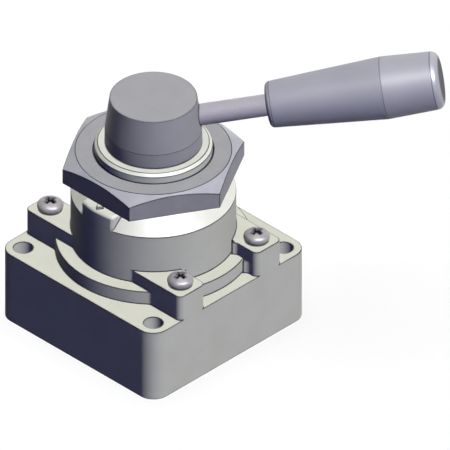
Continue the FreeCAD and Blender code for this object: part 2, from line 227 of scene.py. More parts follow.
def blotched(tree, pattern, first, second):
    """Two colours that share the surface in the soft blotches of a broad noise pattern."""
    return mixed(tree, ranged(tree, pattern, 0.35, 0.65, 0.0, 1.0), first, second)


def object_place(tree):
    return add(tree, "ShaderNodeTexCoord").outputs["Object"]


def shade_lined(tree, colour, line_colour, reach, share):
    """The colour with painted shade in inner corners and seams and a painted dark line on broken edges.
    """
    shut = 0.72
    clear = 0.90
    bent = 0.965
    level = 0.990
    # Painted shade: the AO node darkens inner corners and the seams between parts.
    corner = add(tree, "ShaderNodeAmbientOcclusion", {"Distance": reach}, samples=8)
    in_corner = ranged(tree, corner.outputs["AO"], shut, clear, share, 0.0)
    # Painted dark line on faces marked as broken edges, and beside sharp edges where the Bevel node
    # bends.
    on_edge = add(tree, "ShaderNodeAttribute", attribute_name="edge").outputs["Fac"]
    rounded = add(tree, "ShaderNodeBevel", {"Radius": 1.4 * reach}, samples=6).outputs[0]
    true = add(tree, "ShaderNodeNewGeometry").outputs["Normal"]
    inputs = {0: rounded, 1: true}
    agree = add(tree, "ShaderNodeVectorMath", inputs, operation="DOT_PRODUCT").outputs["Value"]
    beside_edge = ranged(tree, agree, bent, level, share, 0.0)
    painted_shade = maths(tree, "MAXIMUM", in_corner, maths(tree, "MULTIPLY", on_edge, share))
    return mixed(tree, maths(tree, "MAXIMUM", painted_shade, beside_edge), colour, line_colour)


# Colour of the painted shade and the painted dark lines on the casting.
casting_line_shade = (0.02, 0.02, 0.03)
casting_reach = 0.42 * mm


def cast_skin():
    """Blasted die casting: soft blotches under a fine grain."""
    finish, tree, shader = new_finish("cast_skin")
    place = object_place(tree)
    fine = noise(tree, place, 0.35 * mm, 3.0)
    broad = noise(tree, place, 9.0 * mm, 3.0)
    body = blotched(tree, broad, (0.655, 0.662, 0.555), (0.685, 0.692, 0.590))
    body = mixed(tree, spread(tree, fine, 0.06, 0.0), body, (0.45, 0.45, 0.40))
    # Painted shade in inner corners and a painted dark line along broken edges.
    body = shade_lined(tree, body, casting_line_shade, casting_reach, 0.95)
    coated(tree, shader, body, spread(tree, fine, 0.50, 0.62), 0.03)
    bumped(tree, shader, fine, 0.012 * mm, 0.6)
    return finish


def turning_rings(tree, place, pitch, direction="Z"):
    """The fine rings that a lathe tool leaves."""
    inputs = {"Vector": place, "Scale": math.pi / 10 / pitch, "Distortion": 0.4, "Detail": 1.0}
    return add(tree, "ShaderNodeTexWave", inputs, wave_type="RINGS",
               rings_direction=direction).outputs[1]


def turned_casting(name, tone, other, gloss):
    """The casting's own metal, cut by the lathe tool."""
    finish, tree, shader = new_finish(name)
    place = object_place(tree)
    rings = turning_rings(tree, place, 0.4 * mm)
    broad = noise(tree, place, 5.0 * mm, 3.0)
    body = blotched(tree, broad, tone, other)
    # Painted shade in inner corners and a painted dark line along broken edges.
    body = shade_lined(tree, body, casting_line_shade, casting_reach, 0.95)
    coated(tree, shader, body, spread(tree, broad, 0.36, 0.46), gloss)
    bumped(tree, shader, rings, 0.003 * mm, 0.5)
    return finish


turret_top = 46.8 * mm
turned_from = turret_top + 0.1 * mm
turned_r = 26.4 * mm
slant_least = 0.25
slant_most = 0.95
pad_top = 34.0 * mm
pocket_r = 31.0 * mm
pocket_mouth = 0.25 * mm
pocket_roof = 25.0 * mm
chamber_r = 25.0 * mm
chamber_roof = turret_top - 2.0 * mm
bore_r = 17.0 * mm
bore_mouth = high("housing").z - 1.0 * mm
edge_break = 0.15 * mm
tip_gap = 0.032 * mm


def inside_casting(place):
    """True in the pocket, the valve chamber and the shaft bore, which never show."""
    radius = math.hypot(place.x, place.y)
    in_pocket = radius < pocket_r and pocket_mouth < place.z < pocket_roof
    in_chamber = radius < chamber_r and place.z < chamber_roof
    return in_pocket or in_chamber or (radius < bore_r and place.z < bore_mouth)


def tips_closed(shape, level, gap):
    """Draws together the points that the broken edges leave crossed at the thin tips of a top."""
    same_level = 0.001 * mm
    crowded = [v for v in shape.verts if abs(v.co.z - level) < same_level]
    bmesh.ops.remove_doubles(shape, verts=crowded, dist=gap)
    return shape


housing_shape = break_edges(welded_copy("housing"), edge_break, hidden=inside_casting)
housing_shape = tips_closed(housing_shape, pad_top, tip_gap)
casting = smooth(object_from(housing_shape, "housing_casting"), cast_skin())
turned_neck = turned_casting("turned_neck", (0.68, 0.69, 0.60), (0.71, 0.72, 0.64), 0.08)
# Painted highlight: the slanted turned faces, cone and chamfer, take this lighter copy of the turned
# finish.
turned_highlight = turned_casting("turned_highlight", (0.80, 0.80, 0.70), (0.84, 0.84, 0.74), 0.25)
casting.data.materials.append(turned_neck)
casting.data.materials.append(turned_highlight)
for polygon in casting.data.polygons:
    middle = polygon.center
    if middle.z > turned_from and math.hypot(middle.x, middle.y) < turned_r:
        slanted = slant_least < polygon.normal.z < slant_most
        polygon.material_index = 2 if slanted else 1
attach(casting, "housing")
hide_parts("housing")


# The port plate. A square aluminium plate, milled all over, with four tapped ports underneath.
# It is pulled up into the casting by the pad screws.

def new_rule(name, sizes):
    """An empty Geometry Nodes tree with one named input for each size."""
    rule = bpy.data.node_groups.new(name, "GeometryNodeTree")
    for size, value in sizes.items():
        kind = "NodeSocketVector" if isinstance(value, Vector) else "NodeSocketFloat"
        kind = "NodeSocketInt" if isinstance(value, int) else kind
        rule.interface.new_socket(size, in_out="INPUT", socket_type=kind)
    rule.interface.new_socket("Mesh", in_out="OUTPUT", socket_type="NodeSocketGeometry")
    given = rule.nodes.new("NodeGroupInput").outputs
    return rule, given


def finish_rule(rule, mesh, finish):
    """Ends the tree: real geometry in one finish."""
    real = add(rule, "GeometryNodeRealizeInstances", {"Geometry": mesh})
    inputs = {"Geometry": real.outputs[0], "Material": finish}
    dressed = add(rule, "GeometryNodeSetMaterial", inputs)
    shown = rule.nodes.new("NodeGroupOutput")
    rule.links.new(dressed.outputs[0], shown.inputs[0])


def grown(rule, name, sizes):
    """A plain mesh object that holds what the tree makes from these sizes."""
    seed = bpy.data.objects.new(name, bpy.data.meshes.new(name + "_seed"))
    bpy.context.scene.collection.objects.link(seed)
    growth = seed.modifiers.new("rule", "NODES")
    growth.node_group = rule
    for socket in rule.interface.items_tree:
        if socket.in_out == "INPUT":
            growth[socket.identifier] = sizes[socket.name]
    graph = bpy.context.evaluated_depsgraph_get()
    mesh = bpy.data.meshes.new_from_object(seed.evaluated_get(graph))
    seed.modifiers.remove(growth)
    seed.data = mesh
    return seed


def set_out(rule, given, form):
    """Copies of a form on the four corners of the rectangle Spread X by Spread Y."""
    inputs = {"Size X": given["Spread X"], "Size Y": given["Spread Y"],
              "Vertices X": 2, "Vertices Y": 2}
    spots = add(rule, "GeometryNodeMeshGrid", inputs)
    inputs = {"Points": spots.outputs[0], "Instance": form}
    return add(rule, "GeometryNodeInstanceOnPoints", inputs).outputs[0]


def thread_rule(name, sizes, finish):
    """Four equal threaded bars: each ring of the side swells and sinks along its helix."""
    side_share = 0.9
    rule, given = new_rule(name, sizes)
    core = given["Core radius"]
    inputs = {"Vertices": given["Sides"], "Side Segments": given["Rings"],
              "Radius": core, "Depth": given["Length"]}
    bar = add(rule, "GeometryNodeMeshCylinder", inputs)
    position = add(rule, "GeometryNodeInputPosition").outputs[0]
    x, y, z = add(rule, "ShaderNodeSeparateXYZ", {0: position}).outputs
    turns = maths(rule, "DIVIDE", maths(rule, "ARCTAN2", y, x), 2 * math.pi)
    rise = maths(rule, "DIVIDE", z, given["Pitch"])
    wave = maths(rule, "PINGPONG", maths(rule, "SUBTRACT", rise, turns), 0.5)
    swell = maths(rule, "MULTIPLY", maths(rule, "MULTIPLY", wave, 2.0), given["Depth"])
    grow = maths(rule, "ADD", maths(rule, "DIVIDE", swell, core), 1.0)
    squares = maths(rule, "ADD", maths(rule, "MULTIPLY", x, x), maths(rule, "MULTIPLY", y, y))
    radius = maths(rule, "SQRT", squares)
    at_side = maths(rule, "GREATER_THAN", radius, maths(rule, "MULTIPLY", core, side_share))
    scale = add(rule, "ShaderNodeCombineXYZ", {0: grow, 1: grow, 2: 1.0}).outputs[0]
    moved = add(rule, "ShaderNodeVectorMath", {0: position, 1: scale}, operation="MULTIPLY")
    inputs = {"Geometry": bar.outputs[0], "Selection": at_side, "Position": moved.outputs[0]}
    cut = add(rule, "GeometryNodeSetPosition", inputs)
    lift = add(rule, "ShaderNodeCombineXYZ", {2: given["Middle"]}).outputs[0]
    inputs = {"Geometry": cut.outputs[0], "Translation": lift}
    raised = add(rule, "GeometryNodeTransform", inputs)
    finish_rule(rule, set_out(rule, given, raised.outputs[0]), finish)
    return rule


def milled_plate():
    """Face-milled aluminium: close arcs of the cutter, painted shade in the recesses and on the edges.
    """
    finish, tree, shader = new_finish("milled_plate")
    place = object_place(tree)
    inputs = {"Vector": place, "Location": (0.09, 0.02, 0.0)}
    cutter_place = add(tree, "ShaderNodeMapping", inputs).outputs[0]
    arcs = turning_rings(tree, cutter_place, 0.45 * mm)
    fine = noise(tree, place, 0.25 * mm, 3.0)
    body = mixed(tree, spread(tree, fine, 0.0, 1.0), (0.60, 0.61, 0.62), (0.70, 0.71, 0.72))
    body = mixed(tree, ranged(tree, arcs, 0.0, 1.0, 0.0, 0.12), body, (0.42, 0.43, 0.45))
    body = shade_lined(tree, body, (0.04, 0.04, 0.05), 0.30 * mm, 0.8)
    coated(tree, shader, body, ranged(tree, arcs, 0.0, 1.0, 0.30, 0.44), 0.5, metal=0.35)
    bumped(tree, shader, arcs, 0.004 * mm, 0.6)
    return finish


def cut_away(piece, cutter):
    """Cuts one closed mesh out of another and deletes the cutter."""
    blade = piece.modifiers.new("cut", "BOOLEAN")
    blade.object = cutter
    blade.operation = "DIFFERENCE"
    blade.solver = "EXACT"
    blade.use_self = True
    graph = bpy.context.evaluated_depsgraph_get()
    mesh = bpy.data.meshes.new_from_object(piece.evaluated_get(graph))
    piece.modifiers.remove(blade)
    piece.data = mesh
    bpy.data.objects.remove(cutter)
    return piece


port_pitch = 25.4 / 19 * mm
port_core_r = 5.9 * mm
port_core_lap = 0.02 * mm
port_thread_deep = 0.62 * mm
port_depth = 11.0 * mm
port_spread = 22.0 * mm
port_runout = 0.6 * mm
port_overshoot = 1.0 * mm
port_mouth = low("port_plate").z
port_middle = port_mouth + (port_depth - port_runout) / 2
port_thread = {
    "Sides": 48, "Rings": 76, "Core radius": port_core_r - port_core_lap,
    "Depth": port_thread_deep, "Pitch": port_pitch,
    "Length": port_depth - port_runout + port_overshoot,
    "Middle": port_middle - port_overshoot / 2, "Spread X": port_spread, "Spread Y": port_spread}
plate_break = 0.2 * mm
underside_reach = 2.0 * mm


def above_underside(place):
    """True for the plate's upper parts, which lie inside the casting."""
    return place.z > underside_reach


plate_finish = milled_plate()
taps = grown(thread_rule("port_thread", port_thread, plate_finish), "port_taps", port_thread)
plate_shape = break_edges(welded_copy("port_plate"), plate_break, hidden=above_underside)
plate = object_from(plate_shape, "port_plate_milled")
plate = smooth(cut_away(plate, taps), plate_finish)
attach(plate, "housing")
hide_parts("port_plate")


# The seals and the sealed mechanism. Rubber rings, acetal slide rings and washers, bronze bushes,
# ground steel pins and shaft, the springs and the felt wiper. They keep their CAD form and lie
# inside the casting, each in its own finish.

def plain_surface(name, tone, other, grain, rough, relief, gloss, metal=0.0):
    """A finish whose colour, roughness and relief vary at the size of its grain, with painted shade in
    corners.
    """
    finish, tree, shader = new_finish(name)
    place = object_place(tree)
    fine = noise(tree, place, grain, 3.0)
    broad = noise(tree, place, 20 * grain, 2.0)
    body = mixed(tree, spread(tree, fine, 0.0, 1.0), tone, other)
    body = mixed(tree, ranged(tree, broad, 0.35, 0.65, 0.0, 0.3), body, tone)
    body = shade_lined(tree, body, tuple(0.15 * c for c in tone), 0.25 * mm, 0.35)
    coated(tree, shader, body, spread(tree, fine, *rough), gloss, metal)
    bumped(tree, shader, fine, relief, 0.6)
    return finish


rubber = plain_surface("greased_rubber", (0.035, 0.035, 0.037), (0.055, 0.055, 0.055),
                       0.12 * mm, (0.38, 0.55), 0.01 * mm, 0.5)
acetal = plain_surface("turned_acetal", (0.86, 0.85, 0.79), (0.91, 0.90, 0.85),
                       0.20 * mm, (0.35, 0.48), 0.004 * mm, 0.4)
bronze = plain_surface("oiled_bronze", (0.52, 0.33, 0.12), (0.64, 0.43, 0.18),
                       0.10 * mm, (0.30, 0.50), 0.008 * mm, 0.5, metal=0.9)
ground = plain_surface("ground_steel", (0.55, 0.55, 0.56), (0.63, 0.63, 0.64),
                       0.08 * mm, (0.20, 0.32), 0.002 * mm, 0.5, metal=0.9)
sprung = plain_surface("spring_steel", (0.20, 0.20, 0.22), (0.30, 0.30, 0.31),
                       0.10 * mm, (0.28, 0.42), 0.004 * mm, 0.5, metal=0.9)
sawn = plain_surface("sawn_aluminium", (0.56, 0.57, 0.58), (0.66, 0.67, 0.68),
                     0.18 * mm, (0.32, 0.46), 0.006 * mm, 0.5, metal=0.6)
felt = plain_surface("pressed_felt", (0.16, 0.16, 0.14), (0.30, 0.30, 0.27),
                     0.15 * mm, (0.85, 0.98), 0.06 * mm, 0.1)
inside_finishes = {
    "plate_o_ring": rubber, "shaft_o_ring": rubber, "thrust_washer": acetal, "valve_disc": acetal,
    "lower_bush": bronze, "upper_bush": bronze, "disc_spring": sprung, "retaining_ring": sprung,
    "drive_plate": sawn, "shaft": ground, "dust_seal": felt}
for number in ("1", "2"):
    inside_finishes["drive_pin_" + number] = ground
    inside_finishes["detent_ball_" + number] = ground
    inside_finishes["detent_spring_" + number] = sprung
for number in ("1", "2", "3", "4"):
    inside_finishes["slide_ring_" + number] = acetal
    inside_finishes["port_o_ring_" + number] = rubber
for node, finish in inside_finishes.items():
    cad[node].data.materials.clear()
    cad[node].data.materials.append(finish)


# The four plate screws. Nickel plated pan head screws with a cross recess, driven from above
# through the pads into the port plate.

def turned_shape(profile, sides=72):
    """Solid of revolution about Z from an outline of (radius, height) points, pole to pole."""
    on_axis = 0.0001 * mm
    shape = bmesh.new()
    rings = []
    for radius, height in profile:
        if radius < on_axis:
            rings.append([shape.verts.new((0.0, 0.0, height))])
            continue
        ring = []
        for side in range(sides):
            angle = 2 * math.pi * side / sides
            ring.append(shape.verts.new((radius * math.cos(angle), radius * math.sin(angle), height)))
        rings.append(ring)
    for lower, upper in zip(rings, rings[1:]):
        for side in range(sides):
            after = (side + 1) % sides
            corners = [lower[side % len(lower)], lower[after % len(lower)],
                       upper[after % len(upper)], upper[side % len(upper)]]
            unique = list(dict.fromkeys(corners))
            shape.faces.new(unique)
    bmesh.ops.recalc_face_normals(shape, faces=shape.faces)
    return shape


def arc(centre_r, centre_z, radius, start_deg, end_deg, steps):
    """Points of an arc in an outline, angles from outwards towards up."""
    points = []
    for step in range(steps + 1):
        angle = math.radians(start_deg + (end_deg - start_deg) * step / steps)
        points.append((centre_r + radius * math.cos(angle), centre_z + radius * math.sin(angle)))
    return points


screw_x = 28.4 * mm
screw_y = 16.65 * mm
head_r = 4.1 * mm
head_base = pad_top
screw_top = head_base + 3.5 * mm
bulge_r = 1.45 * mm
bulge_z = head_base + 1.35 * mm
dome_step_deg = 2.5
dome_last_deg = 89.0
shank_len = 28.0 * mm
shank_core = 1.62 * mm
shank_r = 2.0 * mm
shank_lap = 0.3 * mm
screw_pitch = 0.7 * mm
recess_floor = 0.55 * mm
recess_arm = 2.65 * mm
recess_half = 0.64 * mm
recess_draft = 0.75
recess_deep = 1.7 * mm
recess_over = 0.3 * mm
# Heights where the painted shade in the cross recess begins and where it is full.
recess_shade_from = screw_top - 0.50 * mm
recess_shade_full = screw_top - 0.95 * mm


def bright_nickel():
    """Nickel plate with soft clouds, with black painted shade in the seam under the head."""
    finish, tree, shader = new_finish("bright_nickel")
    place = object_place(tree)
    fine = noise(tree, place, 0.2 * mm, 3.0)
    broad = noise(tree, place, 2.0 * mm, 2.0)
    body = blotched(tree, broad, (0.355, 0.335, 0.335), (0.425, 0.405, 0.405))
    body = shade_lined(tree, body, (0.01, 0.01, 0.015), 0.45 * mm, 0.98)
    coated(tree, shader, body, spread(tree, fine, 0.34, 0.42), 0.3, metal=0.05)
    bumped(tree, shader, fine, 0.003 * mm, 0.5)
    return finish


def recess_painted_shade():
    """Painted shade in the cross recess: dark grey walls at the mouth, near black deeper in."""
    finish, tree, shader = new_finish("recess_painted_shade")
    place = object_place(tree)
    speckle = noise(tree, place, 0.12 * mm, 3.0)
    painted_shade = mixed(tree, spread(tree, speckle, 0.0, 1.0), (0.008, 0.008, 0.010), (0.030, 0.028, 0.030))
    height = add(tree, "ShaderNodeSeparateXYZ", {0: place}).outputs[2]
    deep_shade = ranged(tree, height, recess_shade_full, recess_shade_from, 1.0, 0.0)
    body = mixed(tree, deep_shade, (0.26, 0.245, 0.245), painted_shade)
    coated(tree, shader, body, spread(tree, speckle, 0.70, 0.90), 0.0)
    bumped(tree, shader, speckle, 0.02 * mm, 0.7)
    return finish


def head_rule(name, sizes, head_form, finish):
    """The shared screw head, set out over the four pads."""
    rule, given = new_rule(name, sizes)
    form = add(rule, "GeometryNodeObjectInfo", {"Object": head_form}).outputs["Geometry"]
    finish_rule(rule, set_out(rule, given, form), finish)
    return rule


bulge_in = head_r - bulge_r
bulge_down = screw_top - bulge_z
dome_r = (bulge_in ** 2 + bulge_down ** 2 - bulge_r ** 2) / (2 * (bulge_down - bulge_r))
dome_z = screw_top - dome_r
foot_deg = -math.degrees(math.asin((bulge_z - head_base) / bulge_r))
join_deg = math.degrees(math.atan2(bulge_z - dome_z, bulge_in))
head_outline = [(0.0, head_base)]
head_outline += arc(bulge_in, bulge_z, bulge_r, foot_deg, join_deg, 18)
head_outline += arc(0.0, dome_z, dome_r, join_deg + dome_step_deg, dome_last_deg, 10)
head_outline += [(0.0, screw_top)]
head_shape = turned_shape(head_outline)
edge_layer(head_shape)
head = object_from(head_shape, "screw_head_form")

recess_shape = bmesh.new()
for turn_deg in (0.0, 90.0):
    arm = bmesh.ops.create_cube(recess_shape, size=2.0)["verts"]
    for corner in arm:
        at_mouth = corner.co.z > 0
        corner.co.x *= recess_arm if at_mouth else recess_floor
        corner.co.y *= recess_half if at_mouth else recess_half * recess_draft
        corner.co.z = screw_top + (recess_over if at_mouth else -recess_deep)
    turn = Matrix.Rotation(math.radians(turn_deg), 3, "Z")
    bmesh.ops.rotate(recess_shape, verts=arm, matrix=turn)
# The recess faces are marked so that below they take the painted shade of the recess finish.
recess_mark = edge_layer(recess_shape)
for face in recess_shape.faces:
    face[recess_mark] = 1.0
head = cut_away(head, object_from(recess_shape, "screw_recess"))

screw_spread = {"Spread X": 2 * screw_x, "Spread Y": 2 * screw_y}
screw_thread = {
    "Sides": 24, "Rings": 240, "Core radius": shank_core, "Depth": shank_r - shank_core,
    "Pitch": screw_pitch, "Length": shank_len, "Middle": head_base - shank_len / 2 + shank_lap}
screw_thread.update(screw_spread)
nickel = bright_nickel()
set_heads = head_rule("plate_screw_heads", screw_spread, head, nickel)
heads = grown(set_heads, "plate_screw_heads", screw_spread)
bpy.data.objects.remove(head)
set_shanks = thread_rule("screw_thread", screw_thread, nickel)
shanks = grown(set_shanks, "plate_screw_shanks", screw_thread)
for piece in (heads, shanks):
    smooth(piece, nickel)
    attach(piece, "housing")
# Painted shade: the marked faces of the cross recess take the dark recess finish.
heads.data.materials.append(recess_painted_shade())
for polygon, shade_marked in zip(heads.data.polygons, heads.data.attributes["edge"].data):
    polygon.material_index = 1 if shade_marked.value > 0.5 else 0
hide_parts("plate_screws")


# The panel nut. Turned from hexagon bar with a 27 degree crown, dull zinc plated, with a
# painted dark line along its corners and a painted highlight on its crown.

# Colour and reach of the painted shade and painted dark lines on the nut, hub and lever.
line_shade = (0.015, 0.015, 0.025)
line_shade_reach = 0.40 * mm


def turned_zinc(name, tone, other, gloss):
    """Zinc plate over turning rings, a little darker in its fine grain, with painted shade in corners.
    """
    finish, tree, shader = new_finish(name)
    place = object_place(tree)
    rings = turning_rings(tree, place, 0.35 * mm)
    fine = noise(tree, place, 0.3 * mm, 3.0)
    broad = noise(tree, place, 6.0 * mm, 2.0)
    body = blotched(tree, broad, tone, other)
    body = mixed(tree, spread(tree, fine, 0.10, 0.0), body, (0.24, 0.24, 0.25))
    body = shade_lined(tree, body, line_shade, line_shade_reach, 0.95)
    coated(tree, shader, body, ranged(tree, rings, 0.0, 1.0, 0.40, 0.50), gloss)
    bumped(tree, shader, rings, 0.003 * mm, 0.5)
    return finish


nut_break = 0.14 * mm
nut_sharp_deg = 20.0
crown_least = 0.7
crown_most = 0.97

nut_shape = break_edges(welded_copy("panel_nut"), nut_break, nut_sharp_deg)
dull_zinc = turned_zinc("dull_zinc", (0.362, 0.362, 0.370), (0.386, 0.386, 0.394), 0.04)
zinc_highlight = turned_zinc("zinc_highlight", (0.44, 0.44, 0.48), (0.48, 0.48, 0.52), 0.12)
nut = smooth(object_from(nut_shape, "panel_nut_hexagon"), dull_zinc)
nut.data.materials.append(zinc_highlight)
# Painted highlight: the crown faces take the lighter copy of the zinc.
for polygon in nut.data.polygons:
    if crown_least < polygon.normal.z < crown_most:
        polygon.material_index = 1
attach(nut, "panel_nut")
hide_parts("panel_nut")


# The lever hub. A small die-cast cap, turned to a taper above a plain skirt and satin painted,
# screwed on the shaft by the lever itself.

def satin_paint():
    """Satin paint with a faint peel, painted shade in corners and a painted dark line on edges."""
    finish, tree, shader = new_finish("satin_paint")
    place = object_place(tree)
    peel = noise(tree, place, 0.8 * mm, 2.0)
    broad = noise(tree, place, 8.0 * mm, 2.0)
    body = blotched(tree, broad, (0.368, 0.368, 0.378), (0.386, 0.386, 0.396))
    body = shade_lined(tree, body, line_shade, line_shade_reach, 0.95)
    coated(tree, shader, body, spread(tree, peel, 0.38, 0.46), 0.06)
    bumped(tree, shader, peel, 0.006 * mm, 0.5)
    return finish


line_deep = 0.10 * mm
line_half = 0.14 * mm


def scored(radius, height):
    """A fine V line scored round a turned piece."""
    return [(radius, height - line_half), (radius - line_deep, height), (radius, height + line_half)]


hub_low = low("lever_hub").z
hub_top = high("lever_hub").z
hub_r = 15.1 * mm
hub_top_r = 13.6 * mm
crease_z = hub_low + 4.95 * mm
hub_round = 0.22 * mm
seal_r = 12.0 * mm
seal_roof = high("dust_seal").z
shaft_r = 7.02 * mm
shaft_top = high("shaft").z
rod_r = 3.42 * mm
rod_seat_r = rod_r + 0.02 * mm
rod_seat_at = 12.25 * mm
lever_z = hub_top - 9.3 * mm
lever_side_deg = 45.0
lever_rise_deg = 10.1
lever_turn = Matrix.Rotation(math.radians(lever_side_deg), 4, "Z")
lever_tilt = Matrix.Rotation(math.radians(90.0 - lever_rise_deg), 4, "Y")
along_lever = Matrix.Translation((0.0, 0.0, lever_z)) @ lever_turn @ lever_tilt

hub_outline = [(0.0, shaft_top), (shaft_r, shaft_top), (shaft_r, seal_roof), (seal_r, seal_roof),
               (seal_r, hub_low)]
hub_outline += arc(hub_r - hub_round, hub_low + hub_round, hub_round, -90, 0, 4)
hub_outline += scored(hub_r, crease_z)
hub_outline += arc(hub_top_r - hub_round, hub_top - hub_round, hub_round, 4, 90, 4)
hub_outline += [(0.0, hub_top)]
hub = object_from(turned_shape(hub_outline, 128), "lever_hub_cap")
seat_outline = [(0.0, rod_seat_at), (rod_seat_r, rod_seat_at), (rod_seat_r, 2 * hub_r), (0.0, 2 * hub_r)]
seat_shape = turned_shape(seat_outline, 64)
bmesh.ops.transform(seat_shape, matrix=along_lever, verts=seat_shape.verts)
hub = smooth(cut_away(hub, object_from(seat_shape, "rod_seat")), satin_paint())
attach(hub, "lever")
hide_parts("lever_hub")


# The lever rod and its grip. A drawn steel bar, and a moulded grip that widens to a crease,
# draws in again and ends in a large rounding. Both are round bars that follow one rule.

def bar_rule(name, sizes, finish):
    """A round bar from Start to End whose radius is the lesser of two cones, less its roundings
    at both ends and the fine lines scored round it."""
    rule, given = new_rule(name, sizes)
    inputs = {"Start": given["Start"], "End": given["End"]}
    line = add(rule, "GeometryNodeCurvePrimitiveLine", inputs)
    inputs = {"Curve": line.outputs[0], "Count": given["Rings"]}
    rings = add(rule, "GeometryNodeResampleCurve", inputs)
    run = add(rule, "GeometryNodeSplineParameter").outputs["Length"]
    length = add(rule, "GeometryNodeSplineLength").outputs["Length"]
    left = maths(rule, "SUBTRACT", length, run)
    widened = maths(rule, "MULTIPLY", run, given["Start slope"])
    rising = maths(rule, "ADD", given["Start radius"], widened)
    widened = maths(rule, "MULTIPLY", left, given["End slope"])
    falling = maths(rule, "ADD", given["End radius"], widened)
    radius = maths(rule, "MINIMUM", rising, falling)
    for from_end, rounding in ((run, given["Start round"]), (left, given["End round"])):
        inward = maths(rule, "MAXIMUM", maths(rule, "SUBTRACT", rounding, from_end), 0.0)
        squares = maths(rule, "SUBTRACT", maths(rule, "MULTIPLY", rounding, rounding),
                        maths(rule, "MULTIPLY", inward, inward))
        sunk = maths(rule, "SUBTRACT", rounding, maths(rule, "SQRT", squares))
        radius = maths(rule, "SUBTRACT", radius, sunk)
    lines = 0.0
    width = given["Line width"]
    for score in ("First line", "Middle line", "Last line"):
        away = maths(rule, "ABSOLUTE", maths(rule, "SUBTRACT", run, given[score]))
        near = maths(rule, "DIVIDE", maths(rule, "SUBTRACT", width, away), width)
        near = maths(rule, "MAXIMUM", near, 0.0)
        sunk = maths(rule, "MULTIPLY", near, given["Line depth"])
        radius = maths(rule, "SUBTRACT", radius, sunk)
        lines = maths(rule, "ADD", lines, near)
    kept = rule.nodes.new("GeometryNodeCaptureAttribute")
    for value, label in ((radius, "radius"), (lines, "lines")):
        kept.capture_items.new("FLOAT", label)
        rule.links.new(value, kept.inputs[label])
    rule.links.new(rings.outputs[0], kept.inputs["Geometry"])
    inputs = {"Resolution": given["Sides"], "Radius": 1.0}
    circle = add(rule, "GeometryNodeCurvePrimitiveCircle", inputs)
    inputs = {"Curve": kept.outputs["Geometry"], "Profile Curve": circle.outputs[0],
              "Scale": kept.outputs["radius"], "Fill Caps": True}
    skin = add(rule, "GeometryNodeCurveToMesh", inputs)
    # The scored lines are marked for a painted dark line; on the rod they have no depth, so there it is
    # only painted.
    inputs = {"Geometry": skin.outputs[0], "Name": "edge", "Value": kept.outputs["lines"]}
    marked = add(rule, "GeometryNodeStoreNamedAttribute", inputs, domain="FACE")
    finish_rule(rule, marked.outputs[0], finish)
    return rule


def closes_end(corners):
    """True for the many-cornered face that closes a bar's end: the skin has four-cornered ones."""
    return len(corners) > 4


def rim_marked(piece):
    """Marks the last band of the outer rounding, where it runs into the flat end, for a painted dark
    line.
    """
    shape = bmesh.new()
    shape.from_mesh(piece.data)
    mark = edge_layer(shape)
    for end in [f for f in shape.faces if closes_end(f.verts) and f.normal.z > 0.0]:
        for edge in end.edges:
            for face in edge.link_faces:
                face[mark] = 0.0 if face is end else 1.0
    shape.to_mesh(piece.data)
    shape.free()
    return piece


def lever_place(distance):
    return along_lever @ Vector((0.0, 0.0, distance))


def drawn_bar():
    """Drawn steel, its fine streaks along the bar, with painted shade in corners and painted dark lines.
    """
    finish, tree, shader = new_finish("drawn_bar")
    place = object_place(tree)
    fine = noise(tree, place, 0.12 * mm, 3.0)
    inputs = {"Vector": place, "Rotation": (0.0, 0.0, math.radians(-lever_side_deg)),
              "Scale": (0.03, 1.0, 1.0)}
    stretch = add(tree, "ShaderNodeMapping", inputs).outputs[0]
    draw = noise(tree, stretch, 0.3 * mm, 3.0)
    body = mixed(tree, spread(tree, draw, 0.0, 1.0), (0.46, 0.435, 0.475), (0.51, 0.485, 0.525))
    body = shade_lined(tree, body, line_shade, line_shade_reach, 0.95)
    coated(tree, shader, body, spread(tree, fine, 0.30, 0.40), 0.08)
    bumped(tree, shader, draw, 0.003 * mm, 0.6)
    return finish


def moulded_grip(name, dull, gloss):
    """Filled plastic from a mould, with a fine spark in its surface, painted shade and painted dark
    lines.
    """
    finish, tree, shader = new_finish(name)
    place = object_place(tree)
    spark = noise(tree, place, 0.22 * mm, 2.0)
    broad = noise(tree, place, 10.0 * mm, 2.0)
    body = blotched(tree, broad, (0.385, 0.385, 0.435), (0.405, 0.405, 0.455))
    body = shade_lined(tree, body, line_shade, line_shade_reach, 0.95)
    coated(tree, shader, body, spread(tree, spark, dull, dull + 0.08), gloss)
    bumped(tree, shader, spark, 0.006 * mm, 0.5)
    return finish


def dark_bar_end():
    """The dull, darker faces that close both ends of a bar."""
    finish, tree, shader = new_finish("dark_bar_end")
    marks = noise(tree, object_place(tree), 0.25 * mm, 3.0)
    body = mixed(tree, spread(tree, marks, 0.0, 1.0), (0.22, 0.22, 0.23), (0.29, 0.29, 0.30))
    coated(tree, shader, body, spread(tree, marks, 0.60, 0.75), 0.0)
    bumped(tree, shader, marks, 0.02 * mm, 0.7)
    return finish


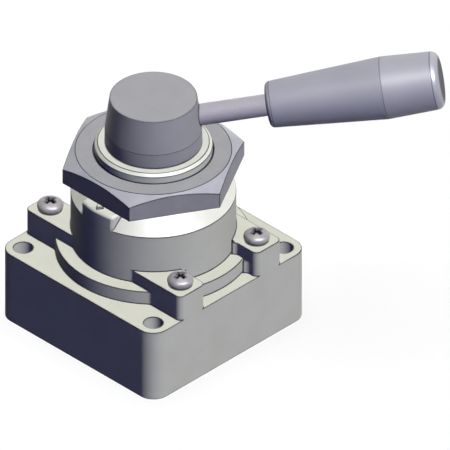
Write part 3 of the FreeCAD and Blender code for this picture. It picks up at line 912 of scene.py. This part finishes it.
grip_start = 35.8 * mm
grip_crease = 72.4 * mm
grip_end = 90.4 * mm
grip_start_r = 7.2 * mm
grip_crease_r = 9.8 * mm
grip_end_r = 9.0 * mm
grip_start_round = 1.4 * mm
grip_end_round = 2.4 * mm
grip_start_slope = (grip_crease_r - grip_start_r) / (grip_crease - grip_start)
grip_end_slope = (grip_crease_r - grip_end_r) / (grip_end - grip_crease)
worn_from = grip_end - grip_end_round + 0.2 * mm
score_width = 0.2 * mm
rod_in_grip = 28.0 * mm
rod_round = 0.3 * mm
grip_sizes = {
    "Start": lever_place(grip_start), "End": lever_place(grip_end), "Rings": 400, "Sides": 80,
    "Start radius": grip_start_r, "Start slope": grip_start_slope,
    "End radius": grip_end_r, "End slope": grip_end_slope,
    "Start round": grip_start_round, "End round": grip_end_round,
    "First line": grip_start_round, "Middle line": grip_crease - grip_start,
    "Last line": grip_end - grip_end_round - grip_start,
    "Line width": score_width, "Line depth": line_deep}
rod_sizes = dict(grip_sizes)
rod_sizes.update({
    "Start": lever_place(rod_seat_at), "End": lever_place(grip_start + rod_in_grip),
    "Rings": 120, "Sides": 64, "Start radius": rod_r, "Start slope": 0.0,
    "End radius": rod_r, "End slope": 0.0, "Start round": rod_round, "End round": rod_round,
    "Line depth": 0.0})
grip_finish = moulded_grip("moulded_grip", 0.48, 0.20)
grip = grown(bar_rule("grip_rule", grip_sizes, grip_finish), "lever_grip_moulded", grip_sizes)
rod = grown(bar_rule("rod_rule", rod_sizes, drawn_bar()), "lever_rod_drawn", rod_sizes)
end_finish = dark_bar_end()
for piece, node, slot in ((grip, "lever_grip", "grip_plastic"), (rod, "lever_rod", "rod_steel")):
    smooth(rim_marked(piece), piece.data.materials[0])
    piece.data.materials.append(end_finish)
    for polygon in piece.data.polygons:
        if closes_end(polygon.vertices):
            polygon.use_smooth = False
            polygon.material_index = 1
    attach(piece, "lever")
    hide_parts(node)

grip.data.materials.append(moulded_grip("worn_grip", 0.30, 0.90))
grip.data.materials.append(moulded_grip("handled_grip", 0.46, 0.36))
to_lever = along_lever.inverted()
for polygon in grip.data.polygons:
    along = (to_lever @ polygon.center).z
    if not closes_end(polygon.vertices) and along > grip_crease:
        polygon.material_index = 2 if along > worn_from else 3


# The studio. A white table that runs on as the backdrop, seen by a lens that keeps parallels
# parallel. A key lamp stands to the right, one overhead and one behind, with a weak blue fill for
# the dark sides and two glint lamps that only show in glossy edges.

frame_px = 450
px_per_m = 3240.0
origin_px = (153.4, 314.0)
camera_away = 1.0
view_right = Vector((1.0, 1.0, 0.0)).normalized()
view_back = Vector((1.0, -1.0, 1.0)).normalized()
view_up = view_back.cross(view_right)

lens = bpy.data.cameras.new("photo_camera")
lens.type = "ORTHO"
lens.ortho_scale = frame_px / px_per_m
lens.clip_start = 0.01
lens.clip_end = 10.0
camera = bpy.data.objects.new("photo_camera", lens)
bpy.context.scene.collection.objects.link(camera)
bpy.context.scene.camera = camera
aim = view_right * ((frame_px / 2 - origin_px[0]) / px_per_m)
aim = aim + view_up * ((origin_px[1] - frame_px / 2) / px_per_m)
camera.location = aim + view_back * camera_away
camera.rotation_mode = "QUATERNION"
camera.rotation_quaternion = (-view_back).to_track_quat("-Z", "Y")

bpy.context.scene.view_settings.view_transform = "Standard"


def sun(name, azimuth_deg, elevation_deg, strength, colour, soft_deg, shadow=False):
    """A lamp far away in the given direction, in degrees round from +X and up."""
    lamp = bpy.data.lights.new(name, "SUN")
    lamp.energy = strength
    lamp.color = colour
    lamp.angle = math.radians(soft_deg)
    lamp.use_shadow = shadow
    made = bpy.data.objects.new(name, lamp)
    azimuth = math.radians(azimuth_deg)
    elevation = math.radians(elevation_deg)
    flat = math.cos(elevation)
    toward = Vector((math.cos(azimuth) * flat, math.sin(azimuth) * flat, math.sin(elevation)))
    made.rotation_mode = "QUATERNION"
    made.rotation_quaternion = toward.to_track_quat("Z", "Y")
    bpy.context.scene.collection.objects.link(made)
    return made


white_light = (1.0, 1.0, 1.0)
sun("key_lamp", -1, 45, 2.5, white_light, 10)
sun("top_lamp", 0, 90, 1.0, (1.0, 1.0, 0.93), 20)
back = sun("back_lamp", 140, 20, 1.15, white_light, 10)
back.visible_glossy = False
sun("cool_lamp", -27, 15, 0.32, (0.0, 0.0, 1.0), 20)
for name, azimuth_deg, elevation_deg in (("left_glint", -45, 60), ("right_glint", 5, 52)):
    glint = sun(name, azimuth_deg, elevation_deg, 7.0, white_light, 12)
    glint.visible_diffuse = False


def seen_rays(tree):
    """1 for camera, glossy and transmission rays, 0 for diffuse light."""
    path = add(tree, "ShaderNodeLightPath")
    shown = maths(tree, "ADD", path.outputs["Is Camera Ray"], path.outputs["Is Glossy Ray"])
    shown = maths(tree, "ADD", shown, path.outputs["Is Transmission Ray"])
    return maths(tree, "MINIMUM", shown, 1.0)


white = (1.0, 1.0, 1.0, 1.0)
black = (0.0, 0.0, 0.0, 1.0)
dim_air = (0.006, 0.007, 0.030, 1.0)
world = bpy.data.worlds.new("studio_air")
bpy.context.scene.world = world
world.use_nodes = True
air = world.node_tree
air.nodes.clear()
lighting = add(air, "ShaderNodeBackground", {"Color": dim_air, "Strength": 1.0})
backdrop = add(air, "ShaderNodeBackground", {"Color": white, "Strength": 1.0})
inputs = {0: seen_rays(air), 1: lighting.outputs[0], 2: backdrop.outputs[0]}
both = add(air, "ShaderNodeMixShader", inputs)
add(air, "ShaderNodeOutputWorld", {"Surface": both.outputs[0]})

floor_half = 1.5
floor_drop = 0.02 * mm
paper_glow = 0.76
paper_lit_share = 0.2
floor_shape = bmesh.new()
bmesh.ops.create_grid(floor_shape, x_segments=2, y_segments=2, size=floor_half)
bmesh.ops.translate(floor_shape, verts=floor_shape.verts, vec=(0.0, 0.0, -floor_drop))
floor = object_from(floor_shape, "studio_floor")
paper = bpy.data.materials.new("white_paper")
paper.use_nodes = True
sheet = paper.node_tree
sheet.nodes.clear()
lit = add(sheet, "ShaderNodeBsdfDiffuse", {"Color": white})
glow = add(sheet, "ShaderNodeEmission", {"Color": white, "Strength": paper_glow})
inputs = {0: paper_lit_share, 1: glow.outputs[0], 2: lit.outputs[0]}
plain = add(sheet, "ShaderNodeMixShader", inputs)
unlit = add(sheet, "ShaderNodeBsdfDiffuse", {"Color": black})
inputs = {0: seen_rays(sheet), 1: unlit.outputs[0], 2: plain.outputs[0]}
shown = add(sheet, "ShaderNodeMixShader", inputs)
add(sheet, "ShaderNodeOutputMaterial", {"Surface": shown.outputs[0]})
floor.data.materials.append(paper)
table = bpy.data.collections.new("table")
table.objects.link(floor)
table_lamp = sun("table_lamp", 0, 90, math.pi, white_light, 40, shadow=True)
table_lamp.light_linking.receiver_collection = table

# No piece throws light on another, so that the shaded sides stay as dark as in the photo.
for piece in bpy.data.objects:
    if piece.type == "MESH" and piece is not floor:
        piece.visible_diffuse = False
